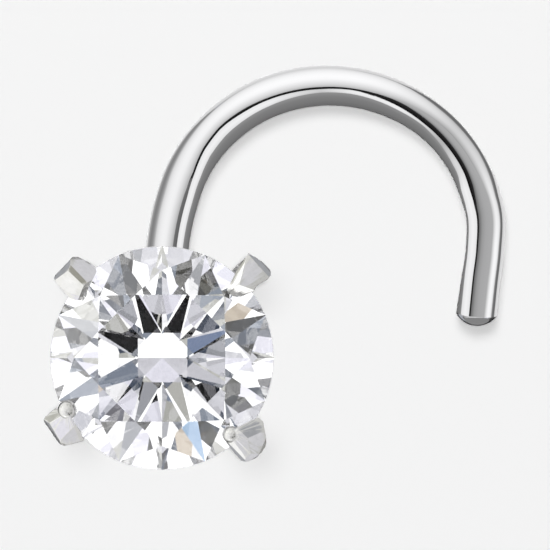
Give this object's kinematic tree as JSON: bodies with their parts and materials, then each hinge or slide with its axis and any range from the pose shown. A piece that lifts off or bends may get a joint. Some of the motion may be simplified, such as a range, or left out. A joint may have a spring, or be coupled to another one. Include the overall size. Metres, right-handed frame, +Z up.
{
  "type": "nose screw ring",
  "caption": "Nose screw: a round brilliant-cut stone in a claw head on a straight post, with the wire end curled into a hook that holds it in the nostril.",
  "frame": {"origin": "middle of the underside of the bounding box, on the surface that the flat hook stands on", "axes": "+Z up along the post towards the stone's table, +Y from the post along the hook's leg"},
  "size_m": [0.0074, 0.0064, 0.008],
  "materials": {
    "stone": "polished facets, clear and colourless",
    "metal": "polished rhodium-plated white gold"
  },
  "bodies": {
    "root": {"stone": "stone", "setting_and_screw_post": "metal"}
  },
  "joints": []
}
